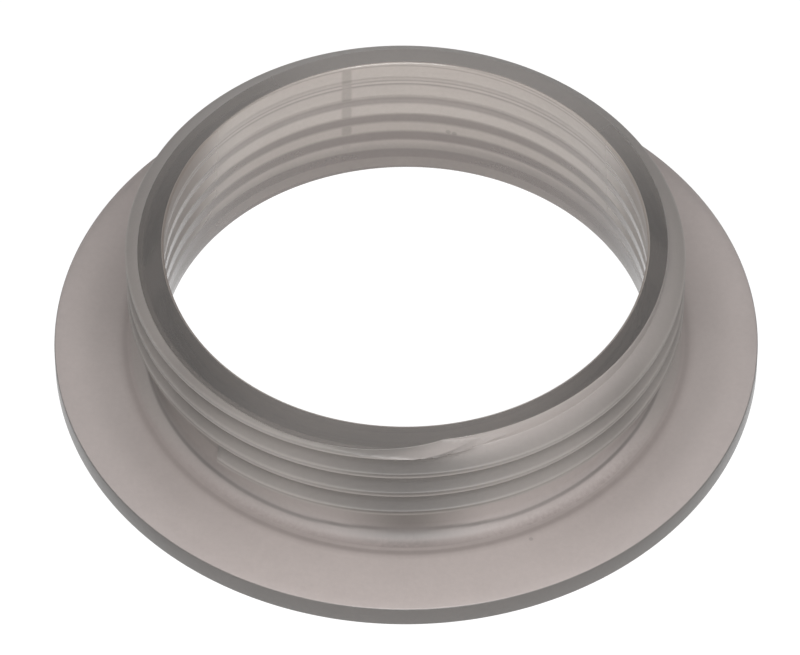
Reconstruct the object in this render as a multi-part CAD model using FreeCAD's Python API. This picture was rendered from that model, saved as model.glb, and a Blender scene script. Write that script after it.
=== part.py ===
"""Threaded hose connector: one moulded ring with a flat flange and an externally threaded collar.

Units are millimetres. The origin is the middle of the flange's flat underside, on the ring's axis.
+Z runs along the axis from the flange to the collar's rim. Angles are measured from +X, seen from above.
"""
import FreeCAD, Part
import math
import os

# Driving sizes
flange_diameter = 55.5
flange_thickness = 1.9
flange_edge_break = 0.15
total_height = 13.1
wall_at_rim = 1.6
wall_at_base = 1.0
bore_edge_break = 0.2
foot_fillet = 1.5
smooth_collar_height = 1.3

# Thread: one ridge with sloping flanks, wound right-handed up the collar
thread_diameter = 43.6
thread_depth = 1.4
thread_pitch = 2.2
groove_width = 1.75
groove_floor = 0.2
thread_start_angle = -135.0
thread_end_angle = -92.0
thread_full_turns = 3
thread_top_break = 0.3
ridge_spare = 0.08
helix_points_per_turn = 16

# Sizes that follow from the driving ones
flange_radius = flange_diameter / 2
thread_radius = thread_diameter / 2
collar_radius = thread_radius - thread_depth
crest_width = thread_pitch - groove_width
flank_rise = (groove_width - groove_floor) / 2
rim_bore_radius = collar_radius - wall_at_rim
base_bore_radius = collar_radius - wall_at_base
fillet_top = flange_thickness + foot_fillet
thread_start_height = fillet_top + smooth_collar_height + flank_rise
thread_turns = thread_full_turns + (thread_end_angle - thread_start_angle) / 360


def point(radius, height):
    """A point of the turned section."""
    return FreeCAD.Vector(radius, 0, height)


def bore_radius(height):
    """Radius of the tapered bore at a height."""
    return base_bore_radius + (rim_bore_radius - base_bore_radius) * height / total_height


def foot_arc():
    """Quarter circle that blends the flange's upper face into the collar."""
    centre = point(collar_radius + foot_fillet, fillet_top)
    on_flange = centre - point(0, foot_fillet)
    on_collar = centre - point(foot_fillet, 0)
    slant = foot_fillet * math.sqrt(0.5)
    between = centre - point(slant, slant)
    return Part.Arc(on_flange, between, on_collar).toShape()


def plain_ring():
    """Flange, smooth collar, foot fillet and tapered through bore with broken edges, as one turned shape."""
    from_collar_to_flange = [
        point(collar_radius, fillet_top),
        point(collar_radius, total_height),
        point(bore_radius(total_height) + bore_edge_break, total_height),
        point(bore_radius(total_height - bore_edge_break), total_height - bore_edge_break),
        point(bore_radius(bore_edge_break), bore_edge_break),
        point(bore_radius(0) + bore_edge_break, 0),
        point(flange_radius - flange_edge_break, 0),
        point(flange_radius, flange_edge_break),
        point(flange_radius, flange_thickness - flange_edge_break),
        point(flange_radius - flange_edge_break, flange_thickness),
        point(collar_radius + foot_fillet, flange_thickness),
    ]
    outline = Part.makePolygon(from_collar_to_flange)
    section = Part.Face(Part.Wire(outline.Edges + [foot_arc()]))
    return section.revolve(FreeCAD.Vector(0, 0, 0), FreeCAD.Vector(0, 0, 1), 360)


def helix_edge(radius, height_above_start):
    """A smooth edge that follows the thread at one radius."""
    step_count = round(thread_turns * helix_points_per_turn)
    points = []
    for step in range(step_count + 1):
        turned = thread_turns * step / step_count
        angle = math.radians(thread_start_angle) + 2 * math.pi * turned
        height = thread_start_height + height_above_start + thread_pitch * turned
        points.append(FreeCAD.Vector(radius * math.cos(angle), radius * math.sin(angle), height))
    curve = Part.BSplineCurve()
    curve.interpolate(points)
    return curve.toShape()


def thread_ridge():
    """The helical ridge with blunt ends, turned to its outer diameter and cut off level with the rim, edge broken."""
    spare_share = ridge_spare / thread_depth
    inner_radius = collar_radius - ridge_spare
    outer_radius = thread_radius + ridge_spare
    corners = [
        (inner_radius, -flank_rise * (1 + spare_share)),
        (outer_radius, flank_rise * spare_share),
        (outer_radius, crest_width - flank_rise * spare_share),
        (inner_radius, crest_width + flank_rise * (1 + spare_share)),
    ]
    rails = [helix_edge(radius, height) for radius, height in corners]
    faces = []
    for index, rail in enumerate(rails):
        faces.append(Part.makeRuledSurface(rails[index - 1], rail))
    for which_end in (0, -1):
        tips = [rail.Vertexes[which_end].Point for rail in rails]
        faces.append(Part.Face(Part.makePolygon(tips + tips[:1])))
    shell = Part.makeShell(faces)
    shell.sewShape()
    ridge = Part.makeSolid(shell)
    if ridge.Volume < 0:
        ridge.reverse()
    straight_height = total_height - thread_top_break
    limits = Part.makeCylinder(thread_radius, straight_height)
    top_break = Part.makeCone(thread_radius, thread_radius - thread_top_break, thread_top_break)
    top_break.translate(FreeCAD.Vector(0, 0, straight_height))
    return ridge.common(limits.fuse(top_break))


def connector():
    """The whole ring, one solid."""
    return plain_ring().fuse(thread_ridge()).removeSplitter()


os.makedirs("parts", exist_ok=True)
connector().exportStep("parts/connector.step")
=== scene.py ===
"""Threaded hose connector: the looks of the smoky translucent plastic ring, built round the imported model.

Sizes are in millimetres and angles in degrees, as on the object's drawing. Floor and lamp are in metres.
Angles round the ring start at +X, seen from above. The photograph was taken from -90 degrees, the front.
A range gives the value where something starts and then the value where it is full.
"""

import math

import bmesh
import bpy
import numpy as np
from mathutils import Matrix, Vector


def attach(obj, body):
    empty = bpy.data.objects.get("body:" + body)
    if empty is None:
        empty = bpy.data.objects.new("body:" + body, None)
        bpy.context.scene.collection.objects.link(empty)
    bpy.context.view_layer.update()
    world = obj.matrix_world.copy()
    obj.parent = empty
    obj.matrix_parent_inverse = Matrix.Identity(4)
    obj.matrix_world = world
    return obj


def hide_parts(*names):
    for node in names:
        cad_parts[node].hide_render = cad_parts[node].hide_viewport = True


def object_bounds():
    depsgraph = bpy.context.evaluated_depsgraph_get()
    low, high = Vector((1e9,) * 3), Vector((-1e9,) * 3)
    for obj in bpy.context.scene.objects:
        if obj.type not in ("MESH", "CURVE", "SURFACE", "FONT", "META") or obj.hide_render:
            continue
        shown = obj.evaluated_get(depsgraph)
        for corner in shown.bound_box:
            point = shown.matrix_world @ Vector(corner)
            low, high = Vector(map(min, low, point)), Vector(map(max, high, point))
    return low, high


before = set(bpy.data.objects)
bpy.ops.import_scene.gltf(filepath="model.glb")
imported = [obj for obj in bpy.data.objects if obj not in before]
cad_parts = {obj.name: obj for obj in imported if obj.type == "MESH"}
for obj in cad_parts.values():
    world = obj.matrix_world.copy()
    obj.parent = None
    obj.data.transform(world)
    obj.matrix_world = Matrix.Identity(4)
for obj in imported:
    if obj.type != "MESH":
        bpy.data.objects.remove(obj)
cad_low, cad_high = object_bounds()

MM = 0.001

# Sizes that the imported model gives
flange_radius = cad_high.x / MM
total_height = cad_high.z / MM

# Sizes of the ring's section
flange_thickness = 1.9
flange_edge_round = 0.15
bore_radius_at_rim = 18.8
bore_radius_at_base = 19.4
bore_edge_round = 0.2
collar_radius = 20.4
foot_fillet = 1.5
smooth_collar_height = 1.55
rim_edge_round = 0.08
foot_end = collar_radius + foot_fillet
foot_top = flange_thickness + foot_fillet
wall_top = total_height - rim_edge_round

# Thread: one ridge with sloping flanks, wound right-handed up the collar
thread_radius = 21.8
thread_pitch = 2.2
crest_width = 0.45
flank_rise = 0.775
corner_rounding = 0.04
thread_top_break = 0.3
thread_start_angle = -135.0
thread_end_angle = -63.0
thread_full_turns = 3
blunt_end_angle = 3.0
thread_depth = thread_radius - collar_radius
thread_start_height = foot_top + smooth_collar_height + flank_rise
thread_turns = thread_full_turns + (thread_end_angle - thread_start_angle) / 360

# Run-out: on the way to the thread's end the upper flank sinks and steepens, and the last stretch fades out
run_out_angle = 55.0
run_out_steepening = 0.55
fade_angle = 20.0

# How finely the ring is meshed
columns = 480
round_steps = 4
flange_steps = 12
fillet_steps = 16
bore_steps = 12
wall_row_shares = 0, 0.06, 0.12, 0.3, 0.5, 0.7, 0.88, 0.94
weld_distance = 1e-7
sharp_edge_angle = 40.0

# Painted shade of the thread seen through the wall, as soft bands on the bore, and the two lines of the
# mould's parting: angle, top and strength
band_height_at_back = 10.77
band_half_width = 0.24
band_widening = 0.05
parting_lines = (104.2, total_height, 0.45), (78.8, 4.8, 0.45)
parting_half_width = 1.6

# Small dark inclusions: radius, angle, height and size
inclusions = (22.94, -65.4, 1.9, 0.22), (19.0, 41.1, 3.1, 0.3), (19.1, 79.6, 4.9, 0.3), (19.1, 78.1, 4.8, 0.3)
inclusion_darkness = 0.25

# Grain of the plastic: feature sizes, and how much each changes the tone
coarse_grain_size = 4.0
coarse_grain = 0.1
fine_grain_size = 0.35
fine_grain = 0.12
bump_size = 0.5
bump_depth = 0.02
bump_strength = 0.5
sparkle_size = 0.3
sparkle_range = 0.35, 0.65
sparkle_depth = 0.4

# Camera, fitted to the photograph, picture 800 pixels wide
camera_distance = 555.0
camera_elevation = 49.3757
camera_pan = 0.049
camera_tilt = 0.1838
camera_roll = 0.2528
focal_length_in_pixels = 7014.13
picture_width = 800
sensor_width = 36.0


def smooth_step(low, high, values):
    """0 at low, 1 at high and a smooth rise between them."""
    share = np.clip((values - low) / (high - low), 0, 1)
    return share * share * (3 - 2 * share)


def rounded_clamp(share):
    """Clamps to 0 ... 1 with both corners rounded."""
    for limit, sign in ((1, 1), (0, -1)):
        blend = np.clip(0.5 + 0.5 * sign * (limit - share) / corner_rounding, 0, 1)
        share = limit + (share - limit) * blend - sign * corner_rounding * blend * (1 - blend)
    return share


def less_where(values, loss):
    """1 where the values are 0, and lower by the loss where they are 1."""
    return 1 - loss * values


def run_out(turn):
    """How far the ridge has run out: 0 along the thread, and a rise that quickens to 1 at its end."""
    return np.clip(1 - (thread_turns - turn) * 360 / run_out_angle, 0, 1) ** 2


def ridge_share(turn, above_edge):
    """How far the ridge stands out at a height above its lower edge. The upper flank sinks in the run-out."""
    started = np.clip(turn / (blunt_end_angle / 360), 0, 1)
    faded = smooth_step(0, fade_angle / 360, thread_turns - turn)
    sunk = (crest_width + 2 * flank_rise) * run_out(turn)
    upper_flank_rise = flank_rise * less_where(run_out(turn), run_out_steepening)
    upper = (crest_width + flank_rise - sunk - above_edge) / upper_flank_rise
    lower = (above_edge + flank_rise) / flank_rise
    return started * faded * rounded_clamp(np.minimum(upper, lower))


def land_share(angle, height):
    """0 at the bottom of the thread's groove and 1 on its crest, at angles from the thread's start."""
    turns_up = (height - thread_start_height) / thread_pitch - angle / 360
    whole = np.floor(turns_up)
    rise = (turns_up - whole) * thread_pitch
    turn = whole + angle / 360
    return np.maximum(ridge_share(turn, rise), ridge_share(turn + 1, rise - thread_pitch))


def outer_radius(angle, height):
    """Radius of the threaded outer wall."""
    radius = collar_radius + thread_depth * land_share(angle, height)
    return np.minimum(radius, thread_radius + total_height - thread_top_break - height)


def bore_radius(height):
    """Radius of the tapered bore."""
    return bore_radius_at_base + (bore_radius_at_rim - bore_radius_at_base) * height / total_height


def arc(centre_radius, centre_height, size, first, last, steps):
    """Points (radius, height) of an arc in the section, from the first to the last angle."""
    angles = np.radians(np.linspace(first, last, steps + 1))
    return [(centre_radius + size * math.cos(a), centre_height + size * math.sin(a)) for a in angles]


def flange_and_foot():
    """Points (radius, height) of the section from the bore's lower edge round the flange and up the foot."""
    edge = flange_radius - flange_edge_round
    points = arc(bore_radius(0) + bore_edge_round, bore_edge_round, bore_edge_round, 180, 270, round_steps)
    points += arc(edge, flange_edge_round, flange_edge_round, -90, 0, round_steps)
    points += arc(edge, flange_thickness - flange_edge_round, flange_edge_round, 0, 90, round_steps)
    for share in np.linspace(1, 0, flange_steps + 1)[1:-1]:
        points.append((foot_end + (edge - foot_end) * share ** 2, flange_thickness))
    return points + arc(foot_end, foot_top, foot_fillet, 270, 180, fillet_steps)


def heights_within_pitch():
    """Heights of the wall's rows above the ridge's lower edge, closer together at the thread's corners."""
    corners = 0, crest_width, crest_width + flank_rise, thread_pitch - flank_rise, thread_pitch
    heights = []
    for low, high in zip(corners, corners[1:]):
        heights += [low + (high - low) * share for share in wall_row_shares]
    return heights


def threaded_wall(angles):
    """Rows (radii, heights) of the threaded wall. They climb with the thread, one pitch for each turn."""
    turns_below = math.ceil((thread_start_height - foot_top) / thread_pitch) + 1
    turns_above = math.ceil((wall_top - thread_start_height) / thread_pitch)
    rows = []
    for turn in range(-turns_below, turns_above):
        for rise in heights_within_pitch():
            heights = thread_start_height + thread_pitch * (turn + angles / 360) + rise
            heights = np.clip(heights, foot_top, wall_top)
            rows.append((outer_radius(angles, heights), heights))
    return rows


def rim_and_bore(angles):
    """Rows (radii, height) from the top of the wall over the rim and down the bore."""
    top_radii = outer_radius(angles, wall_top)
    rows = []
    for radius, height in arc(-rim_edge_round, wall_top, rim_edge_round, 0, 90, round_steps):
        rows.append((top_radii + radius, height))
    rim_start = bore_radius(total_height) + bore_edge_round
    rows += arc(rim_start, total_height - bore_edge_round, bore_edge_round, 90, 180, round_steps)
    for height in np.linspace(total_height - bore_edge_round, bore_edge_round, bore_steps + 1)[1:-1]:
        rows.append((bore_radius(height), height))
    return rows


def ring_mesh():
    """The whole ring as one closed mesh."""
    angles = np.arange(columns) * 360 / columns
    below_wall = flange_and_foot()
    wall = threaded_wall(angles)
    rows = below_wall + wall + rim_and_bore(angles)
    first_wall_row = len(below_wall)
    last_wall_row = first_wall_row + len(wall) - 1
    rows_per_pitch = len(heights_within_pitch())

    turned = np.radians(angles + thread_start_angle)
    points = np.empty((columns, len(rows), 3))
    for index, (radius, height) in enumerate(rows):
        points[:, index, 0] = radius * np.cos(turned) * MM
        points[:, index, 1] = radius * np.sin(turned) * MM
        points[:, index, 2] = height * MM

    def number(column, row):
        """Vertex number. Past the last column, a row of the threaded wall goes on one pitch higher."""
        row %= len(rows)
        if column == columns:
            column = 0
            if first_wall_row <= row <= last_wall_row:
                row = min(row + rows_per_pitch, last_wall_row)
        return column * len(rows) + row

    faces = []
    for column in range(columns):
        for row in range(len(rows)):
            faces.append((
                number(column, row),
                number(column + 1, row),
                number(column + 1, row + 1),
                number(column, row + 1),
            ))
    mesh = bpy.data.meshes.new("connector_look")
    mesh.from_pydata(points.reshape(-1, 3).tolist(), [], faces)
    work = bmesh.new()
    work.from_mesh(mesh)
    bmesh.ops.remove_doubles(work, verts=work.verts, dist=weld_distance)
    bmesh.ops.dissolve_degenerate(work, edges=work.edges, dist=weld_distance)
    bmesh.ops.recalc_face_normals(work, faces=work.faces)
    work.to_mesh(mesh)
    work.free()
    mesh.polygons.foreach_set("use_smooth", np.ones(len(mesh.polygons), bool))
    mesh.set_sharp_from_angle(angle=math.radians(sharp_edge_angle))
    return mesh


class SurfacePoints:
    """Where the mesh's points lie on the ring: arrays with one value for each point."""

    # How far off a face a point still counts as on it
    slack = 0.01
    # Share of the thread's depth that counts as the bottom of its groove
    groove_bottom = 0.2

    def __init__(self, mesh):
        flat = np.empty(len(mesh.vertices) * 3)
        mesh.vertices.foreach_get("co", flat)
        x, y, height = flat.reshape(-1, 3).T / MM
        radius = np.hypot(x, y)
        self.radius = radius
        self.into_foot = foot_end - radius
        self.foot_level = (height - flange_thickness) / foot_fillet
        self.out_of_groove = (radius - collar_radius) / thread_depth
        self.towards_right = x / radius
        self.towards_back = y / radius
        self.from_front = np.degrees(np.arccos(np.clip(-self.towards_back, -1, 1)))

        from_start = (np.degrees(np.arctan2(y, x)) - thread_start_angle) % 360
        turns_up = (height - thread_start_height + self.slack) / thread_pitch - from_start / 360
        self.rise = (turns_up - np.floor(turns_up)) * thread_pitch
        self.turn = np.floor(turns_up) + from_start / 360

        self.on_rim = height > total_height - self.slack
        self.on_bore = (radius < bore_radius(height) + bore_edge_round + self.slack) & ~self.on_rim
        above_foot = self.foot_level > 1 - self.slack
        self.on_wall = above_foot & (radius > collar_radius - self.slack) & ~self.on_rim
        self.on_flange = (self.foot_level < self.slack) & ~self.on_bore
        self.in_foot = (self.foot_level < 1) & ~self.on_flange & ~self.on_bore
        smooth_collar = (self.out_of_groove < self.groove_bottom) & (height < foot_top + smooth_collar_height)
        self.under_thread = self.in_foot | (self.on_wall & smooth_collar)


def side_painted_light(points):
    """Painted light: 0 at the front, 1 at the sides and back, with a weaker place on each side of the front.
    """
    onset = 0, 30
    dip_angle = 50
    dip_reach = 15
    dip_loss = 0.35
    dip = smooth_step(dip_reach, 0, abs(points.from_front - dip_angle))
    return smooth_step(*onset, points.from_front) * less_where(dip, dip_loss)


def run_out_painted_light(points):
    """Painted light where the thread runs out: over the shade of the last turn's sinking flank, and on the
    wall past it.
    """
    flank_onset = 0.04, 0.5
    flank_range = 0.65, 0.15
    wall_onset = -24, -8
    wall_range = 0.4, 1.3
    fading = 0, 70
    fading_loss = 0.45
    on_flank = smooth_step(*flank_onset, run_out(points.turn)) * smooth_step(*flank_range, points.rise)
    on_flank = on_flank * (points.turn >= 1)
    past_end = (points.turn + 1 - thread_turns) * 360
    on_wall = smooth_step(*wall_onset, past_end) * smooth_step(*wall_range, points.rise)
    on_wall = on_wall * (points.turn >= 0) * less_where(smooth_step(*fading, past_end), fading_loss)
    return np.clip(on_flank + on_wall, 0, 1)


def wall_marks(points, side_light):
    """Painted light in the thread's hollows, painted highlights on the crests and the painted light band of
    the run-out.
    """
    groove_range = 0.5, 0.25
    groove_loss_under_thread = 0.6
    crest_range = 0.8, 1
    lower_line_range = 0.3, 0.15
    upper_line_range = 0.12, 0.04
    line_loss_at_front = 0.35
    # painted highlights: a light line on each crest's lower edge, and one on its upper corner towards the
    # sides
    lower_highlight = smooth_step(*lower_line_range, points.rise)
    upper_highlight = smooth_step(*upper_line_range, abs(points.rise - crest_width)) * side_light
    lines = smooth_step(*crest_range, points.out_of_groove) * np.maximum(lower_highlight, upper_highlight)
    # painted light: the bottom of the thread's hollow lighter, filling the shade under the ridge above
    groove_painted_light = smooth_step(*groove_range, points.out_of_groove)
    return {
        "groove": points.on_wall * groove_painted_light * less_where(points.under_thread, groove_loss_under_thread),
        "crest_painted_highlight": points.on_wall * lines * less_where(1 - side_light, line_loss_at_front),
        # painted light over the shade where the thread runs out
        "run_out": points.on_wall * run_out_painted_light(points),
    }


def foot_marks(points, side_light):
    """The foot, its painted light either side of the front, its frosted band of painted highlight and its
    thin line of painted shade.
    """
    painted_light_onset = 0, 20
    painted_light_end = 75, 45
    painted_light_loss_at_left = 0.35
    strip_depth = 1.2
    strip_fading = 0.85
    strip_edge = 0.3
    strip_edge_loss = 0.5
    strip_end = 45, 75
    strip_end_loss = 0.7
    line_level = 0.62
    line_range = 0.12, 0.04
    line_drop = 0.2
    line_drop_onset = 0, 25
    line_loss_at_side = 0.4
    # painted light on the foot and the smooth collar, either side of the front, weaker on the left
    foot_painted_light = smooth_step(*painted_light_onset, points.from_front) * smooth_step(*painted_light_end, points.from_front)
    foot_painted_light = foot_painted_light * less_where(1 - points.towards_right, painted_light_loss_at_left)
    # painted highlight: a light band across the foot's fillet, weaker at its edge and towards the back
    painted_band = np.clip((strip_depth - points.into_foot) / strip_fading, 0, 1)
    painted_band = painted_band * less_where(smooth_step(strip_edge, 0, points.into_foot), strip_edge_loss)
    painted_band = painted_band * less_where(smooth_step(*strip_end, points.from_front), strip_end_loss)
    # painted shade: a thin dark line along the fillet, lower towards the sides
    lowered_level = line_level - line_drop * smooth_step(*line_drop_onset, points.from_front)
    line = smooth_step(*line_range, abs(points.foot_level - lowered_level))
    return {
        "foot": points.in_foot,
        "foot_painted_light": points.under_thread * foot_painted_light,
        "foot_painted_highlight": points.in_foot * painted_band,
        "foot_painted_shade_line": points.in_foot * line * less_where(side_light, line_loss_at_side),
    }


def flange_marks(points):
    """The flange, with painted shade at its sides, a painted shadow line along the foot and painted shade on
    its edge.
    """
    side_onset = 5, 70
    back_onset = 90, 120
    back_loss = 0.6
    outside_onset = 24, 26.5
    outside_loss = 0.5
    line_range = 0.85, 0.25
    line_edge = 0.2
    line_edge_loss = 0.4
    line_share = 0.9
    shade_reach = 5.0
    past_foot = -points.into_foot
    # painted shade: the flange darker towards its sides, less so at the back and far out
    sides = smooth_step(*side_onset, points.from_front)
    sides = sides * less_where(smooth_step(*back_onset, points.from_front), back_loss)
    sides = sides * less_where(smooth_step(*outside_onset, points.radius), outside_loss)
    # painted shadow: a dark line where the flange meets the foot, and shade fading out from the foot
    line = smooth_step(*line_range, past_foot)
    line = line * less_where(smooth_step(line_edge, 0, past_foot), line_edge_loss)
    shade = smooth_step(shade_reach, 0, past_foot)
    return {
        "flange": points.on_flange,
        "flange_painted_side_shade": points.on_flange * sides,
        "flange_painted_foot_shadow": points.on_flange * (line_share * line + (1 - line_share) * shade),
        # painted shade on the flange's outer edge face
        "flange_edge_painted_shade": points.radius > flange_radius - flange_edge_round / 2,
    }


def rim_and_bore_marks(points):
    """The rim, with painted sheen at the back and a little at the front, and the bore, duller with painted
    shade at its sides.
    """
    back_onset = 0, 0.9
    left_onset = 0.3, 0.7
    left_loss = 0.45
    front_onset = 0.6, 1
    front_strength = 0.35
    bore_side_onset = 0.75, 0.3
    bore_left_onset = -0.7, -0.95
    # painted sheen: the rim lighter at the back, less on the left, and a little at the front
    at_back = smooth_step(*back_onset, points.towards_back)
    at_back = at_back * less_where(smooth_step(*left_onset, -points.towards_right), left_loss)
    at_front = front_strength * smooth_step(*front_onset, -points.towards_back)
    return {
        "rim": points.on_rim,
        "rim_painted_sheen": points.on_rim * np.maximum(at_back, at_front),
        "bore": points.on_bore,
        # the bore rougher and darkened by painted shade everywhere but at the back
        "bore_painted_side_shade": points.on_bore * smooth_step(*bore_side_onset, points.towards_back),
        # painted shade darkening the bore on its left
        "bore_painted_left_shade": points.on_bore * smooth_step(*bore_left_onset, points.towards_right),
        "bore_painted_shade_and_parting": points.on_bore,
    }


def add_marks(mesh):
    """Marks on the mesh's points that say how strongly each finish shows there, for the material."""
    points = SurfacePoints(mesh)
    side_light = side_painted_light(points)
    marks = {
        "wall": points.on_wall | points.in_foot | points.on_rim,
        # painted light: the wall and foot lighter at the sides and back
        "side_painted_light": (points.on_wall | points.in_foot) * side_light,
        **wall_marks(points, side_light),
        **foot_marks(points, side_light),
        **flange_marks(points),
        **rim_and_bore_marks(points),
    }
    for name, values in marks.items():
        attribute = mesh.attributes.new(name, "FLOAT", "POINT")
        attribute.data.foreach_set("value", np.asarray(values, float))


# Finish of each mark: colour, roughness, share of clear plastic. Many rows paint light and shade into the
# colour. Later rows lie over earlier ones.
clear_finish = (0.86, 0.77, 0.74), 0.10, 0.97
finishes = {
    "wall": ((0.166, 0.15, 0.14), 0.45, 0.5),
    "flange": ((0.58, 0.515, 0.494), 0.35, 0.35),
    # painted shade on the flange's sides
    "flange_painted_side_shade": ((0.44, 0.392, 0.376), 0.35, 0.35),
    # painted shadow along the foot on the flange
    "flange_painted_foot_shadow": ((0.33, 0.288, 0.275), 0.35, 0.35),
    # painted shade on the flange's outer edge face
    "flange_edge_painted_shade": ((0.24, 0.225, 0.215), 0.3, 0.6),
    # painted light filling the shade at the bottom of the thread's hollows
    "groove": ((0.28, 0.257, 0.242), 0.45, 0.5),
    "foot": ((0.215, 0.193, 0.183), 0.45, 0.5),
    # painted light: lighter wall and foot at the sides and back
    "side_painted_light": ((0.37, 0.34, 0.32), 0.4, 0.5),
    # painted light on the foot either side of the front
    "foot_painted_light": ((0.56, 0.50, 0.48), 0.45, 0.45),
    # painted highlight on the foot's fillet, broken into sparkles by noise
    "foot_painted_highlight": ((0.38, 0.328, 0.315), 0.45, 0.4),
    # painted shade: the thin dark line along the foot's fillet
    "foot_painted_shade_line": ((0.20, 0.179, 0.17), 0.4, 0.5),
    # painted highlight lines on the crests
    "crest_painted_highlight": ((0.46, 0.426, 0.402), 0.35, 0.5),
    # painted light over the shade where the thread runs out
    "run_out": ((0.55, 0.50, 0.478), 0.35, 0.5),
    "rim": ((0.43, 0.40, 0.378), 0.2, 0.88),
    # painted sheen on the rim
    "rim_painted_sheen": ((0.48, 0.45, 0.43), 0.3, 0.6),
    "bore": ((0.79, 0.715, 0.658), 0.10, 0.6),
    # rougher bore, darkened by painted shade
    "bore_painted_side_shade": ((0.42, 0.37, 0.335), 0.5, 0.4),
    # painted shade on the bore's left
    "bore_painted_left_shade": ((0.29, 0.245, 0.22), 0.5, 0.4),
    # painted shade of the thread seen through the wall and towards the base, and the mould's parting lines
    "bore_painted_shade_and_parting": ((0.40, 0.35, 0.327), 0.10, 0.6),
}


class Sheet:
    """Adds nodes to a node tree. A value is a number, a tuple or another node's result."""

    def __init__(self, tree):
        tree.nodes.clear()
        self.nodes = tree.nodes
        self.links = tree.links

    def add(self, kind, values, **settings):
        node = self.nodes.new("ShaderNode" + kind)
        for name, setting in settings.items():
            setattr(node, name, setting)
        for socket, value in values.items():
            if isinstance(value, bpy.types.NodeSocket):
                self.links.new(value, node.inputs[socket])
            else:
                node.inputs[socket].default_value = value
        return node

    def math(self, operation, first, second=0.0):
        return self.add("Math", {0: first, 1: second}, operation=operation).outputs[0]

    def ramp(self, value, low, high):
        """0 below low, 1 above high and a smooth rise between them; falls where low is the larger."""
        values = {"Value": value, "From Min": low, "From Max": high}
        return self.add("MapRange", values, interpolation_type="SMOOTHSTEP").outputs[0]

    def less_where(self, value, loss):
        """1 where the value is 0, and lower by the loss where it is 1."""
        return self.math("SUBTRACT", 1, self.math("MULTIPLY", value, loss))

    def mix_colour(self, share, first, second):
        """Inputs 6 and 7 and output 2 are the Mix node's colours."""
        return self.add("Mix", {0: share, 6: first, 7: second}, data_type="RGBA").outputs[2]

    def mix_number(self, share, first, second):
        """Inputs 2 and 3 and output 0 are the Mix node's numbers."""
        return self.add("Mix", {0: share, 2: first, 3: second}).outputs[0]

    def noise(self, place, feature_size):
        values = {"Vector": place, "Scale": 1 / (feature_size * MM), "Detail": 3}
        return self.add("TexNoise", values).outputs[0]


def climbing_painted_shade(sheet, height, angle):
    """Painted shade of the thread seen through: a soft band climbing the bore, wider and deeper downwards,
    with a light core near the rim.
    """
    back_turn = 0.25
    edge_range = 1.25, 0.45
    core_range = 0.2, 0.05
    core_heights = 9.0, 10.0
    full_depth_heights = 3.0, 10.0
    depth_loss = 0.3
    turn = sheet.math("DIVIDE", angle, math.tau)
    pitches_up = sheet.math("SUBTRACT", sheet.math("DIVIDE", height, thread_pitch), turn)
    band_place = band_height_at_back / thread_pitch - back_turn
    from_band = sheet.math("SUBTRACT", pitches_up, band_place - 0.5)
    off_centre = sheet.math("ABSOLUTE", sheet.math("SUBTRACT", sheet.math("FRACT", from_band), 0.5))
    distance = sheet.math("MULTIPLY", off_centre, thread_pitch)
    below_top = sheet.math("SUBTRACT", total_height, height)
    half_width = sheet.math("ADD", sheet.math("MULTIPLY", below_top, band_widening), band_half_width)
    band = sheet.ramp(sheet.math("DIVIDE", distance, half_width), *edge_range)
    light_core = sheet.math("MULTIPLY", sheet.ramp(distance, *core_range), sheet.ramp(height, *core_heights))
    band = sheet.math("MULTIPLY", band, sheet.less_where(light_core, 1))
    return sheet.math("MULTIPLY", band, sheet.less_where(sheet.ramp(height, *full_depth_heights), depth_loss))


def parting_line(sheet, height, angle, line_angle, top, strength):
    """A soft upright line on the bore, up to its top."""
    top_fading = 0.3
    aside = sheet.math("ABSOLUTE", sheet.math("SUBTRACT", angle, math.radians(line_angle)))
    line = sheet.ramp(aside, math.radians(parting_half_width), math.radians(parting_half_width / 2))
    line = sheet.math("MULTIPLY", line, sheet.ramp(height, top, top - top_fading))
    return sheet.math("MULTIPLY", line, strength)


def bore_shade_and_parting_lines(sheet, place):
    """How strongly the bore is darkened: by painted shade in the climbing band and towards the base, and
    along the parting lines.
    """
    base_heights = 5.0, 1.5
    base_strength = 0.75
    axes = sheet.add("SeparateXYZ", {0: place})
    height = sheet.math("DIVIDE", axes.outputs["Z"], MM)
    angle = sheet.math("ARCTAN2", axes.outputs["Y"], axes.outputs["X"])
    base = sheet.math("MULTIPLY", sheet.ramp(height, *base_heights), base_strength)
    shade = sheet.math("MAXIMUM", climbing_painted_shade(sheet, height, angle), base)
    for parting in parting_lines:
        shade = sheet.math("MAXIMUM", shade, parting_line(sheet, height, angle, *parting))
    return shade


def specks(sheet, place):
    """1 in the few small dark inclusions, 0 elsewhere."""
    dark = 0.0
    for radius, degrees, height, size in inclusions:
        angle = math.radians(degrees)
        centre = radius * math.cos(angle) * MM, radius * math.sin(angle) * MM, height * MM
        away = sheet.add("VectorMath", {0: place, 1: centre}, operation="DISTANCE").outputs["Value"]
        dark = sheet.math("MAXIMUM", dark, sheet.ramp(away, size * MM, size * MM / 2))
    return dark


def tone_level(sheet, place):
    """What the colour is multiplied by: coarse and fine grain round 1, and the dark specks."""
    coarse = sheet.math("MULTIPLY", sheet.noise(place, coarse_grain_size), coarse_grain)
    fine = sheet.math("MULTIPLY", sheet.noise(place, fine_grain_size), fine_grain)
    level = sheet.math("ADD", sheet.math("ADD", coarse, fine), 1 - (coarse_grain + fine_grain) / 2)
    return sheet.math("MULTIPLY", level, sheet.less_where(specks(sheet, place), inclusion_darkness))


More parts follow.
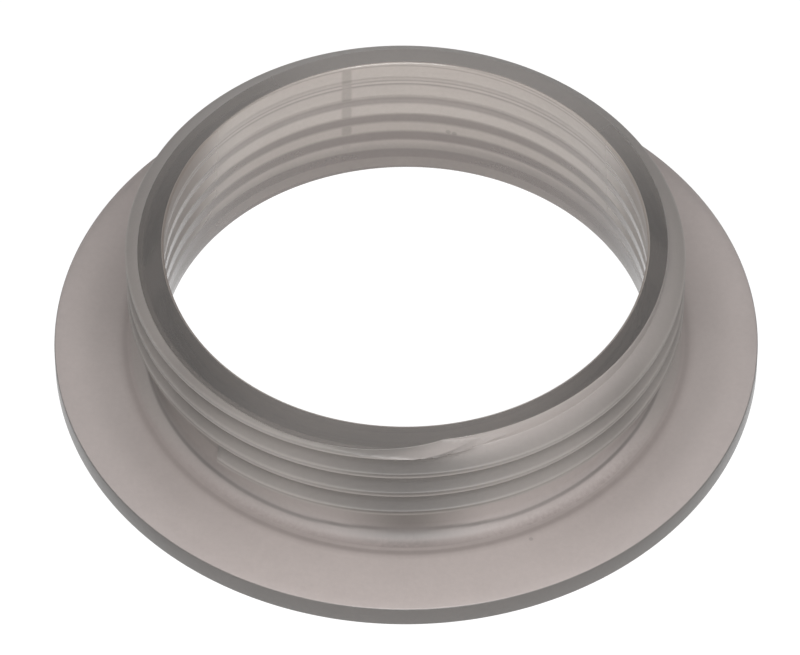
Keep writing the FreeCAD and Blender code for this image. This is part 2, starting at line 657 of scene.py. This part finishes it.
def smoke_plastic():
    """Smoky translucent plastic with a warm grey tint; each face has its own tone and clearness, and painted
    light and shade.
    """
    material = bpy.data.materials.new("smoke_plastic_look")
    material.use_nodes = True
    sheet = Sheet(material.node_tree)
    place = sheet.add("TexCoord", {}).outputs["Object"]
    sparkle = sheet.ramp(sheet.noise(place, sparkle_size), *sparkle_range)
    patterns = {
        # painted shade on the bore, and its parting lines
        "bore_painted_shade_and_parting": bore_shade_and_parting_lines(sheet, place),
        # the foot's painted highlight broken into sparkles by noise
        "foot_painted_highlight": sheet.less_where(sheet.math("SUBTRACT", 1, sparkle), sparkle_depth),
    }
    (red, green, blue), roughness, clearness = clear_finish
    colour = red, green, blue, 1
    for name, (its_colour, its_roughness, its_clearness) in finishes.items():
        share = sheet.add("Attribute", {}, attribute_name=name).outputs["Fac"]
        if name in patterns:
            share = sheet.math("MULTIPLY", share, patterns[name])
        colour = sheet.mix_colour(share, colour, (*its_colour, 1))
        roughness = sheet.mix_number(share, roughness, its_roughness)
        clearness = sheet.mix_number(share, clearness, its_clearness)
    toned = sheet.add("VectorMath", {0: colour, "Scale": tone_level(sheet, place)}, operation="SCALE")
    bump_height = sheet.noise(place, bump_size)
    bump = sheet.add("Bump", {"Strength": bump_strength, "Distance": bump_depth * MM, "Height": bump_height})
    shader = sheet.add("BsdfPrincipled", {
        "Base Color": toned.outputs[0],
        "Roughness": roughness,
        "IOR": 1.5,
        "Transmission Weight": clearness,
        "Normal": bump.outputs[0],
    })
    absorption = sheet.add("VolumeAbsorption", {"Color": (0.1, 0.06, 0.04, 1), "Density": 130})
    sheet.add("OutputMaterial", {"Surface": shader.outputs[0], "Volume": absorption.outputs[0]})
    return material


def sees_background(sheet):
    """1 for rays that show the background: straight from the camera, mirrored, or through the plastic."""
    path = sheet.add("LightPath", {})
    seen = sheet.math("MAXIMUM", path.outputs["Is Camera Ray"], path.outputs["Is Glossy Ray"])
    return sheet.math("MAXIMUM", seen, path.outputs["Is Transmission Ray"])


def white_floor():
    """A pale floor just under the ring. It glows towards the camera and still keeps the ring's shadow."""
    floor_size = 6.0
    floor_gap = 0.0001
    paint_colour = 0.8, 0.8, 0.8, 1
    glow_strength = 1.16
    glow_share = 0.85
    half = floor_size / 2
    mesh = bpy.data.meshes.new("floor")
    corners = [(x, y, -floor_gap) for x, y in ((-half, -half), (half, -half), (half, half), (-half, half))]
    mesh.from_pydata(corners, [], [(0, 1, 2, 3)])
    floor = bpy.data.objects.new("floor", mesh)
    bpy.context.collection.objects.link(floor)
    material = bpy.data.materials.new("floor_white")
    material.use_nodes = True
    sheet = Sheet(material.node_tree)
    paint = sheet.add("BsdfDiffuse", {"Color": paint_colour}).outputs[0]
    glow = sheet.add("Emission", {"Strength": glow_strength}).outputs[0]
    share = sheet.math("MULTIPLY", sees_background(sheet), glow_share)
    mixed = sheet.add("MixShader", {0: share, 1: paint, 2: glow}).outputs[0]
    sheet.add("OutputMaterial", {"Surface": mixed})
    mesh.materials.append(material)


def white_world():
    """Even white light all round, and a white background."""
    white = 1, 1, 1, 1
    light_strength = 0.36
    background_strength = 1.0
    world = bpy.data.worlds.new("studio")
    bpy.context.scene.world = world
    world.use_nodes = True
    sheet = Sheet(world.node_tree)
    light = sheet.add("Background", {"Color": white, "Strength": light_strength}).outputs[0]
    background = sheet.add("Background", {"Color": white, "Strength": background_strength}).outputs[0]
    mixed = sheet.add("MixShader", {0: sees_background(sheet), 1: light, 2: background}).outputs[0]
    sheet.add("OutputWorld", {"Surface": mixed})


def soft_lamp(name, place, size, power):
    """A square area lamp that faces the object."""
    lamp = bpy.data.lights.new(name, "AREA")
    lamp.size = size
    lamp.energy = power
    holder = bpy.data.objects.new(name, lamp)
    holder.location = place
    holder.rotation_mode = "QUATERNION"
    holder.rotation_quaternion = Vector(place).to_track_quat("Z", "Y")
    bpy.context.collection.objects.link(holder)


def add_camera():
    """The photograph's camera: it looks at the origin, then turns a little and rolls."""
    elevation = math.radians(camera_elevation)
    place = Vector((0, -math.cos(elevation), math.sin(elevation))) * camera_distance * MM
    look = -place.normalized()
    right = Vector((1, 0, 0))
    up = right.cross(look)
    pan = Matrix.Rotation(math.radians(camera_pan), 3, up)
    look, right = pan @ look, pan @ right
    tilt = Matrix.Rotation(math.radians(camera_tilt), 3, right)
    look, up = tilt @ look, tilt @ up
    roll = Matrix.Rotation(math.radians(camera_roll), 3, look)
    right, up = roll @ right, roll @ up
    camera = bpy.data.cameras.new("camera")
    camera.sensor_width = sensor_width
    camera.lens = focal_length_in_pixels * sensor_width / picture_width
    camera.clip_start = 0.01
    camera.clip_end = 10
    holder = bpy.data.objects.new("camera", camera)
    holder.matrix_world = Matrix((
        (right.x, up.x, -look.x, place.x),
        (right.y, up.y, -look.y, place.y),
        (right.z, up.z, -look.z, place.z),
        (0, 0, 0, 1),
    ))
    bpy.context.collection.objects.link(holder)
    bpy.context.scene.camera = holder


def add_ring():
    """The moulded ring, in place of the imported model's connector."""
    mesh = ring_mesh()
    add_marks(mesh)
    mesh.materials.append(smoke_plastic())
    ring = bpy.data.objects.new("moulded_ring", mesh)
    bpy.context.collection.objects.link(ring)
    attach(ring, "root")
    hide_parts("connector")


bpy.context.scene.view_settings.view_transform = "Standard"
add_ring()
white_floor()
white_world()
soft_lamp("front_lamp", place=(0.01, -0.17, 0.16), size=0.16, power=0.53)
add_camera()
